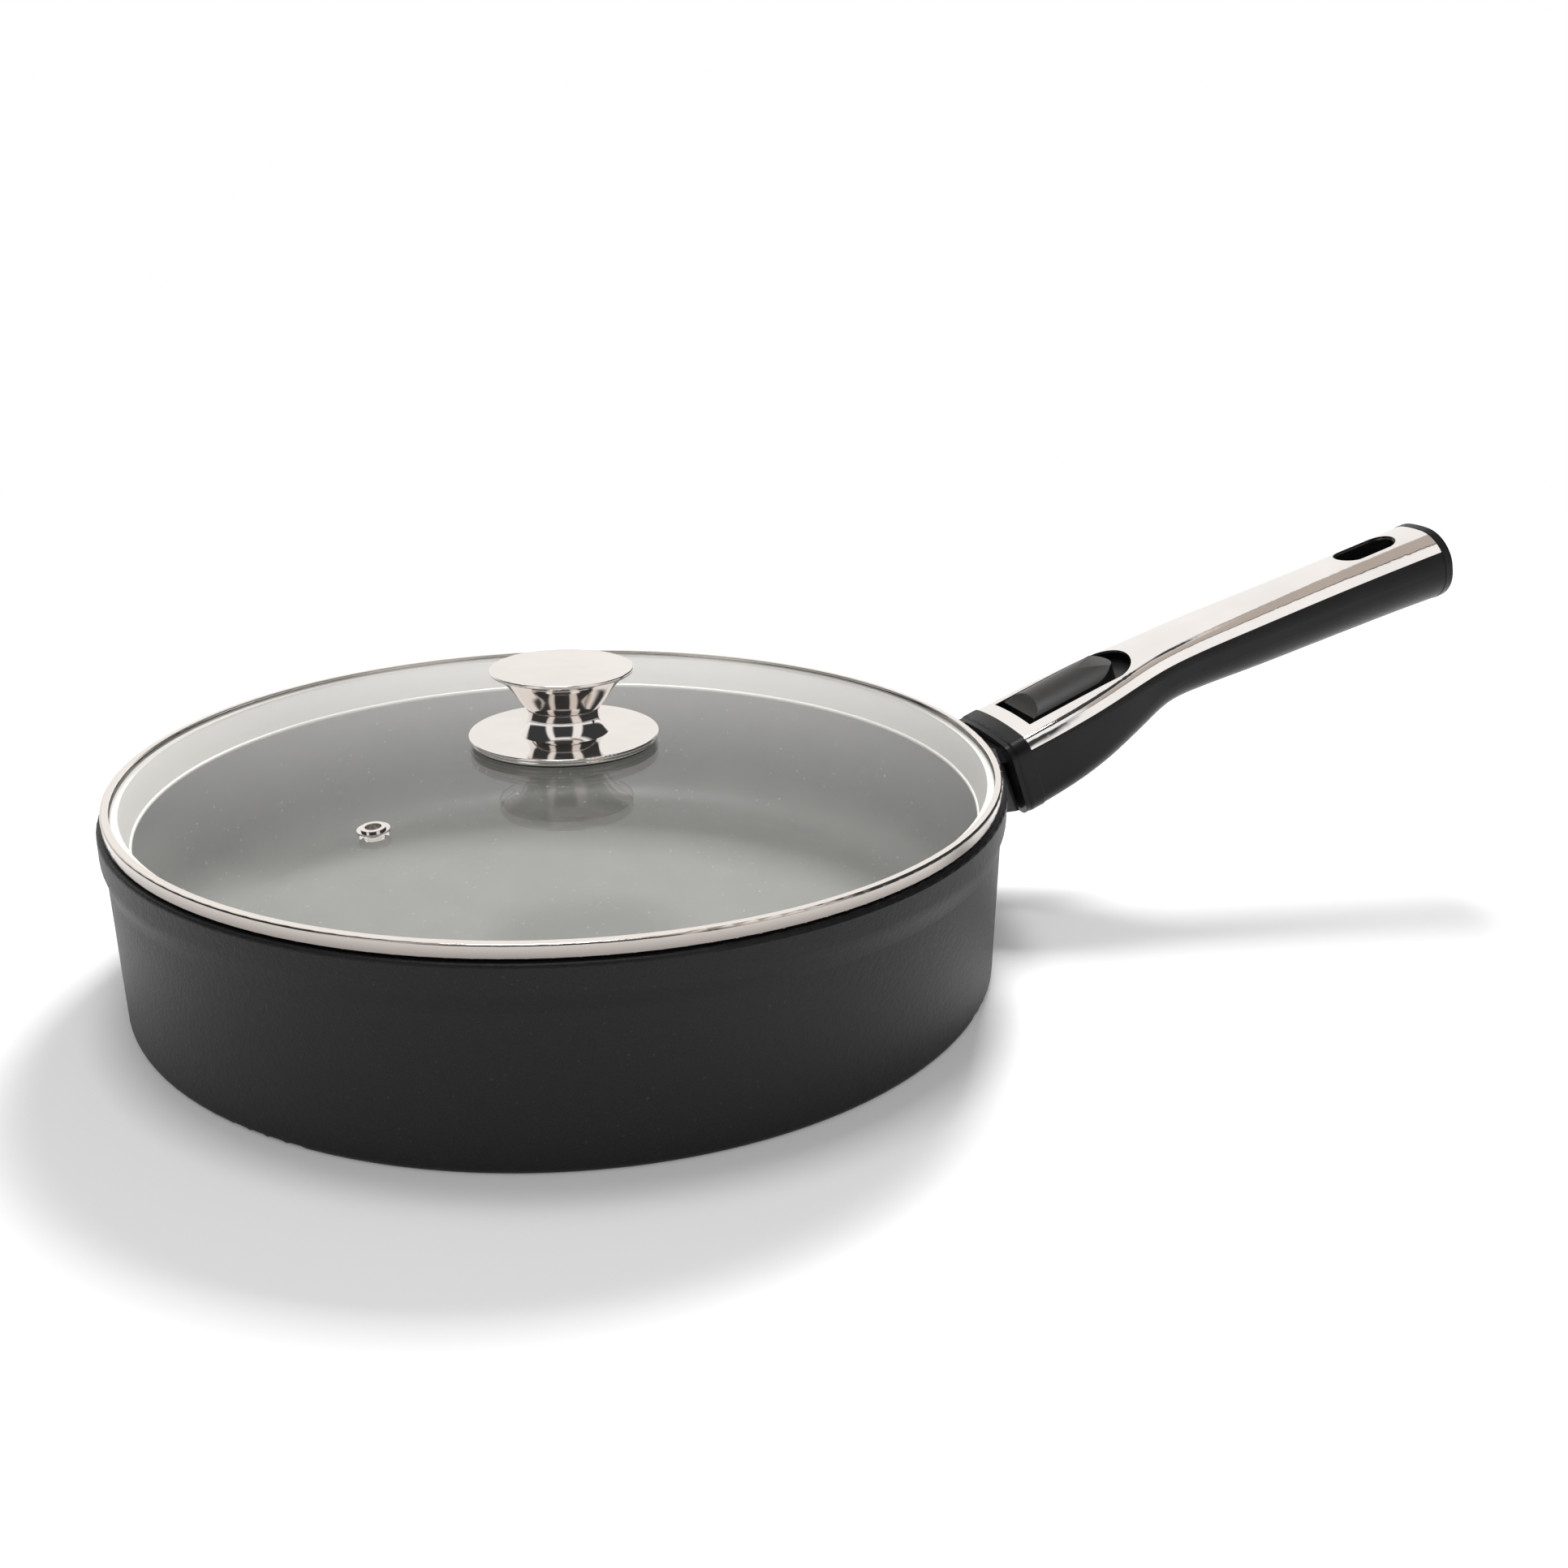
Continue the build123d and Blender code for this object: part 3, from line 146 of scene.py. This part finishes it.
class Nodes:
    """A node tree, with short ways to add and join nodes."""

    def __init__(self, tree):
        self.nodes = tree.nodes
        self.links = tree.links

    def add(self, kind, **settings):
        """Adds a node."""
        node = self.nodes.new(kind)
        for key, value in settings.items():
            setattr(node, key, value)
        return node

    def put(self, value, socket):
        """Sets a socket to a number or colour, or joins another node's output to it."""
        if isinstance(value, tuple):
            socket.default_value = (*value, 1)
        elif isinstance(value, (int, float)):
            socket.default_value = value
        else:
            self.links.new(value, socket)

    def math(self, operation, *values):
        """Works out one operation on numbers or outputs."""
        node = self.add("ShaderNodeMath", operation=operation)
        for socket, value in zip(node.inputs, values):
            self.put(value, socket)
        return node.outputs[0]

    def split(self, vector):
        """The x, y and z of a vector."""
        node = self.add("ShaderNodeSeparateXYZ")
        self.put(vector, node.inputs["Vector"])
        return node.outputs

    def spread(self, value, low, high, to_low=0.0, to_high=1.0, **settings):
        """Maps a range of a value to another range, clamped."""
        node = self.add("ShaderNodeMapRange", **settings)
        ends = {"From Min": low, "From Max": high, "To Min": to_low, "To Max": to_high}
        for name, number in ends.items():
            node.inputs[name].default_value = number
        self.put(value, node.inputs["Value"])
        return node.outputs["Result"]

    def between(self, amount, first, second):
        """Goes from one value to another by an amount."""
        node = self.add("ShaderNodeMix", data_type="FLOAT")
        for name, value in (("Factor", amount), ("A", first), ("B", second)):
            self.put(value, node.inputs[name])
        return node.outputs["Result"]

    def blend(self, amount, first, second):
        """Goes from one colour to another by an amount."""
        node = self.add("ShaderNodeMix", data_type="RGBA")
        self.put(amount, node.inputs["Factor"])
        for name, value in (("A", first), ("B", second)):
            self.put(value, next(s for s in node.inputs if s.name == name and s.type == "RGBA"))
        return next(s for s in node.outputs if s.type == "RGBA")

    def mix(self, amount, first, second):
        """Goes from one shader to another by an amount."""
        node = self.add("ShaderNodeMixShader")
        for socket, value in zip(node.inputs, (amount, first, second)):
            self.put(value, socket)
        return node.outputs[0]

    def rays(self, first, *others):
        """One for rays of any of these kinds."""
        path = self.add("ShaderNodeLightPath")
        amount = path.outputs[f"Is {first} Ray"]
        for kind in others:
            amount = self.math("MAXIMUM", amount, path.outputs[f"Is {kind} Ray"])
        return amount


class Shader(Nodes):
    """A node material for a surface."""

    def __init__(self, name):
        self.material = bpy.data.materials.new(name)
        self.material.use_nodes = True
        super().__init__(self.material.node_tree)
        self.surface = self.nodes["Principled BSDF"]
        self.place = self.add("ShaderNodeTexCoord").outputs["Object"]

    def set(self, **values):
        """Fills the surface's sockets, named with underscores for spaces."""
        for key, value in values.items():
            self.put(value, self.surface.inputs[key.replace("_", " ")])

    def show(self, shader):
        """Makes a shader the material's own."""
        self.put(shader, self.nodes["Material Output"].inputs["Surface"])

    def noise(self, scale, detail, rough, vector=None):
        """Soft noise over the surface, or along a vector."""
        node = self.add("ShaderNodeTexNoise")
        for name, number in (("Scale", scale), ("Detail", detail), ("Roughness", rough)):
            node.inputs[name].default_value = number
        self.put(vector or self.place, node.inputs["Vector"])
        return node.outputs["Fac"]

    def lines(self, across, along, detail, rough):
        """Fine lines that run where both values stay the same."""
        node = self.add("ShaderNodeCombineXYZ")
        for socket, value in zip(node.inputs, (across, along)):
            self.put(value, socket)
        return self.noise(1.0, detail, rough, vector=node.outputs[0])

    def flecks(self, scale, share):
        """A share of small cells, each with its own strength."""
        node = self.add("ShaderNodeTexVoronoi")
        node.inputs["Scale"].default_value = scale
        self.put(self.place, node.inputs["Vector"])
        return self.spread(node.outputs["Color"], 1.0 - share, 1.0)

    def bump(self, height, distance, strength, over=None):
        """Raises the surface by a height, on top of another bump if there is one."""
        node = self.add("ShaderNodeBump")
        node.inputs["Strength"].default_value = strength
        node.inputs["Distance"].default_value = distance
        self.put(height, node.inputs["Height"])
        if over is not None:
            self.put(over, node.inputs["Normal"])
        self.set(Normal=node.outputs["Normal"])
        return node.outputs["Normal"]

    def axis_distance(self):
        """Distance from the pan's axis, and height."""
        x, y, z = self.split(self.place)
        squares = self.math("ADD", self.math("MULTIPLY", x, x), self.math("MULTIPLY", y, y))
        return self.math("SQRT", squares), z


def pan_coating():
    """Dark speckled coating outside and grey non-stick coating inside, whose flecks are painted
    bright as glints.
    """
    s = Shader("pan_coating")
    radius, height = s.axis_distance()
    inside = s.math(
        "MULTIPLY",
        s.math("LESS_THAN", radius, PAN_RADIUS - WALL + WALL_SLACK),
        s.math("GREATER_THAN", height, FLOOR_SKIN),
    )
    grain = s.noise(2600, 3.0, 0.65)
    dark = s.blend(s.spread(grain, 0.42, 0.72), *COATING)
    dark = s.blend(s.math("MULTIPLY", s.flecks(1500, share=0.10), 0.22), dark, COATING_FLAKE)
    grey = s.blend(s.spread(s.noise(60, 3.0, 0.5), 0.35, 0.65), *INSIDE)
    # Flecks of the inner coating: their bright colour is a painted glint; their lower roughness is
    # real
    flecks_with_painted_glint = s.flecks(1250, share=0.10)
    grey = s.blend(s.math("MULTIPLY", flecks_with_painted_glint, 0.75), grey, INSIDE_PAINTED_GLINT)
    rough_outside = s.spread(grain, 0.3, 0.7, 0.40, 0.55)
    rough_inside = s.spread(flecks_with_painted_glint, 0.0, 1.0, 0.40, 0.22)
    s.set(
        Base_Color=s.blend(inside, dark, grey),
        Roughness=s.between(inside, rough_outside, rough_inside),
        Specular_IOR_Level=0.28,
    )
    fine_share = s.math("SUBTRACT", 1.0, s.math("MULTIPLY", inside, 0.9))
    coarse_share = s.math("SUBTRACT", 1.0, inside)
    fine = s.math("MULTIPLY", s.noise(1400, 2.0, 0.6), fine_share)
    coarse = s.math("MULTIPLY", s.noise(560, 2.0, 0.5), coarse_share)
    s.bump(coarse, 0.0003, 0.45, over=s.bump(fine, 0.00016, 0.6))
    return s.material


def steel(name, colour, rough, scratch=0.02, rings=False):
    """Polished steel with fine turning marks or a faint even grain."""
    s = Shader(name)
    if rings:
        radius, height = s.axis_distance()
        line = s.lines(s.math("MULTIPLY", radius, 2600), height, 4.0, 0.6)
    else:
        line = s.noise(900, 4.0, 0.6)
    cloudy = tuple(part * 0.93 for part in colour)
    s.set(
        Base_Color=s.blend(s.spread(s.noise(45, 2.0, 0.5), 0.3, 0.7), colour, cloudy),
        Roughness=s.spread(line, 0.2, 0.8, rough * 0.75, rough * 1.35),
        Metallic=1.0,
    )
    s.bump(line, 0.00002, scratch)
    return s.material


def ring_steel():
    """Ring of the lid: polished on top; its outer band carries a painted reflection, darker towards
    its bottom; its skirt is satin, with a pale painted sheen.
    """
    s = Shader("rim_steel")
    radius, height = s.axis_distance()
    line = s.lines(s.math("MULTIPLY", radius, 2600), s.math("MULTIPLY", height, 2600), 4.0, 0.6)
    # Painted reflection: the ring's outer band is coloured darker, most at its bottom, in place of
    # the floor that it reflects
    outer = s.spread(radius, RING_RADIUS - 0.0007, RING_RADIUS - 0.0001)
    band = s.blend(s.spread(height, RING_TOP - 0.0045, RING_TOP - 0.0008), *RING_BAND_PAINTED_REFLECTION)
    # Painted sheen: the skirt is coloured paler and made partly non-metal so that it looks lit; its
    # added roughness is its satin finish
    skirt = s.spread(radius, RING_RADIUS - 0.0032, RING_RADIUS - 0.0026, 1.0, 0.0)
    top = s.blend(skirt, RING_STEEL, SKIRT_PAINTED_SHEEN)
    worn = s.spread(line, 0.2, 0.8, 0.10, 0.18)
    s.set(
        Base_Color=s.blend(outer, top, band),
        Roughness=s.math("ADD", worn, s.math("MULTIPLY", skirt, 0.24)),
        Metallic=s.spread(skirt, 0.0, 1.0, 1.0, 0.35),
    )
    s.bump(line, 0.00002, 0.04)
    return s.material


def turned_steel():
    """Underside disc: matt steel with concentric turning marks."""
    s = Shader("base_steel")
    radius, height = s.axis_distance()
    line = s.lines(s.math("MULTIPLY", radius, 1400), 0.0, 5.0, 0.7)
    s.set(
        Base_Color=s.blend(s.spread(line, 0.25, 0.75), *DISC_STEEL),
        Roughness=s.spread(line, 0.2, 0.8, 0.28, 0.45),
        Metallic=1.0,
    )
    s.bump(line, 0.00006, 0.4)
    return s.material


def moulding(name, colour, rough, grain=1600, depth=0.00003, level=0.25, coat=0.0):
    """Black moulding: a fine spark-eroded grain, faintly uneven gloss."""
    s = Shader(name)
    fine = s.noise(grain, 2.0, 0.6)
    lighter = tuple(part * 1.5 + 0.002 for part in colour)
    s.set(
        Base_Color=s.blend(s.spread(s.noise(70, 3.0, 0.5), 0.3, 0.7), colour, lighter),
        Roughness=s.spread(fine, 0.25, 0.75, rough * 0.88, rough * 1.15),
        Specular_IOR_Level=level,
        Coat_Weight=coat,
        Coat_Roughness=0.04,
    )
    s.bump(fine, depth, 0.5)
    return s.material


def bracket_paint():
    """Painted casting: dark grey with a slight orange-peel surface."""
    s = Shader("bracket_metal")
    fine = s.noise(900, 3.0, 0.6)
    s.set(
        Base_Color=s.blend(s.spread(fine, 0.35, 0.7), *BRACKET_PAINT),
        Roughness=s.spread(fine, 0.3, 0.7, 0.32, 0.46),
    )
    s.bump(fine, 0.00008, 0.4)
    return s.material


def clear_glass():
    """Clear tempered glass; light passes straight through it to what lies below."""
    s = Shader("lid_glass")
    s.set(Base_Color=GLASS, Roughness=0.0, IOR=1.2, Transmission_Weight=1.0)
    s.bump(s.noise(9, 1.0, 0.4), 0.00006, 0.15)
    through = s.add("ShaderNodeBsdfTransparent")
    s.put(GLASS_THROUGH, through.inputs["Color"])
    s.show(s.mix(s.rays("Shadow", "Diffuse"), s.surface.outputs[0], through.outputs[0]))
    return s.material


def silicone():
    """Black silicone seals."""
    s = Shader("gasket_silicone")
    fine = s.noise(800, 2.0, 0.5)
    s.set(
        Base_Color=s.blend(s.spread(fine, 0.3, 0.7), *SILICONE),
        Roughness=s.spread(fine, 0.3, 0.7, 0.5, 0.65),
    )
    s.bump(fine, 0.00004, 0.3)
    return s.material


def dress(material, *names):
    """Gives CAD nodes their finish."""
    for name in names:
        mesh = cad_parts[name].data
        mesh.materials.clear()
        mesh.materials.append(material)


def make_floor():
    """Pale floor that keeps the object's shadow and turns plain white away from it."""
    bpy.ops.mesh.primitive_plane_add(size=FLOOR_SIZE, location=(0, 0, 0))
    floor = bpy.context.object
    floor.name = "floor"
    s = Shader("floor")
    s.nodes.remove(s.surface)
    distance, height = s.axis_distance()
    diffuse = s.add("ShaderNodeBsdfDiffuse")
    s.put(FLOOR_GREY, diffuse.inputs["Color"])
    glow = s.add("ShaderNodeEmission")
    seen = s.rays("Camera", "Glossy", "Transmission")
    amount = s.math("MULTIPLY", seen, s.spread(distance, FADE_START, FADE_END, FADE_LEAST, 1.0))
    s.show(s.mix(amount, diffuse.outputs[0], glow.outputs[0]))
    floor.data.materials.append(s.material)


class Sky(Nodes):
    """The world's nodes, with short ways to shade by direction."""

    def __init__(self):
        world = bpy.data.worlds.new("studio")
        scene.world = world
        world.use_nodes = True
        super().__init__(world.node_tree)
        x, y, z = self.split(self.add("ShaderNodeTexCoord").outputs["Generated"])
        from_front = self.math("ARCTAN2", x, self.math("MULTIPLY", y, -1.0))
        self.azimuth = self.math("MULTIPLY", from_front, math.degrees(1))
        self.elevation = self.math("MULTIPLY", self.math("ARCSINE", z), math.degrees(1))

    def within(self, value, low, high, soft):
        """One between two angles, falling to nothing over a soft edge."""
        middle = (low + high) / 2
        half = (high - low) / 2
        away = self.math("ABSOLUTE", self.math("SUBTRACT", value, middle))
        return self.spread(away, half + soft, half - soft, interpolation_type="SMOOTHSTEP")

    def patch(self, azimuths, elevations, soft):
        """A soft-edged part of the sky."""
        return self.math(
            "MULTIPLY",
            self.within(self.azimuth, *azimuths, soft),
            self.within(self.elevation, *elevations, soft),
        )

    def light(self, node, colour, strength=1.0):
        """Fills a background node."""
        self.put(colour, node.inputs["Color"])
        self.put(strength, node.inputs["Strength"])
        return node.outputs[0]


def make_world():
    """White background, plain grey light, and a white studio with dark gaps for reflections."""
    sky = Sky()
    colour = STUDIO_WHITE
    for azimuths, elevations, soft, gap in STUDIO_GAPS:
        colour = sky.blend(sky.patch(azimuths, elevations, soft), colour, gap)
    plain = sky.light(sky.nodes["Background"], WHITE, AMBIENT)
    white = sky.light(sky.add("ShaderNodeBackground"), WHITE)
    studio = sky.light(sky.add("ShaderNodeBackground"), colour)
    lit = sky.mix(sky.rays("Glossy"), plain, studio)
    shown = sky.mix(sky.rays("Camera", "Transmission"), lit, white)
    sky.put(shown, sky.nodes["World Output"].inputs["Surface"])


make_camera()
make_world()
make_floor()
make_lamp("key", place=(0.62, 1.0, 1.28), aim=(0.05, 0, 0), size=0.5, power=38, reflected=False)
make_lamp("front", place=(-0.4, -1.4, 1.1), aim=(0, 0, 0.05), size=0.9, power=8, reflected=False)
make_lamp("above", place=(-0.05, 0.12, 1.35), aim=(0, 0, 0), size=0.35, power=6)

dress(pan_coating(), "pan_body")
dress(turned_steel(), "base_disc")
dress(bracket_paint(), "handle_bracket")
dress(moulding("handle_black", HANDLE_BLACK, 0.34, level=0.2), "handle_body")
dress(moulding("cap_black", CAP_BLACK, 0.33, level=0.2), "end_cap")
dress(moulding("guard_black", GUARD_BLACK, 0.10, grain=700, depth=0.000005, coat=0.6), "front_guard")
dress(moulding("button_black", BUTTON_BLACK, 0.36, level=0.3), "release_button")
dress(moulding("tray_black", TRAY_BLACK, 0.42), "mechanism_tray", "button_carrier")
dress(steel("handle_chrome", PLATE_STEEL, 0.05, scratch=0.01), "handle_plate")
dress(ring_steel(), "lid_rim")
dress(
    steel("knob_steel", KNOB_STEEL, 0.07, rings=True),
    "knob_flange", "knob_seat", "knob_waist", "knob_funnel", "knob_top_disc", "vent_eyelet",
)
dress(steel("core_alloy", SCREW_STEEL, 0.3), "knob_core")
dress(
    steel("screw_steel", SCREW_STEEL, 0.25),
    "bracket_screws", "tray_screws", "carrier_screw", "knob_screw", "knob_washer", "spring_pin",
)
dress(steel("spring_steel", SPRING_STEEL, 0.25), "latch_spring")
dress(steel("wedge_steel", WEDGE_STEEL, 0.3), "lock_wedge")
dress(clear_glass(), "lid_glass")
dress(silicone(), "glass_gasket_top", "glass_gasket_bottom")

scene.view_settings.view_transform = "Standard"
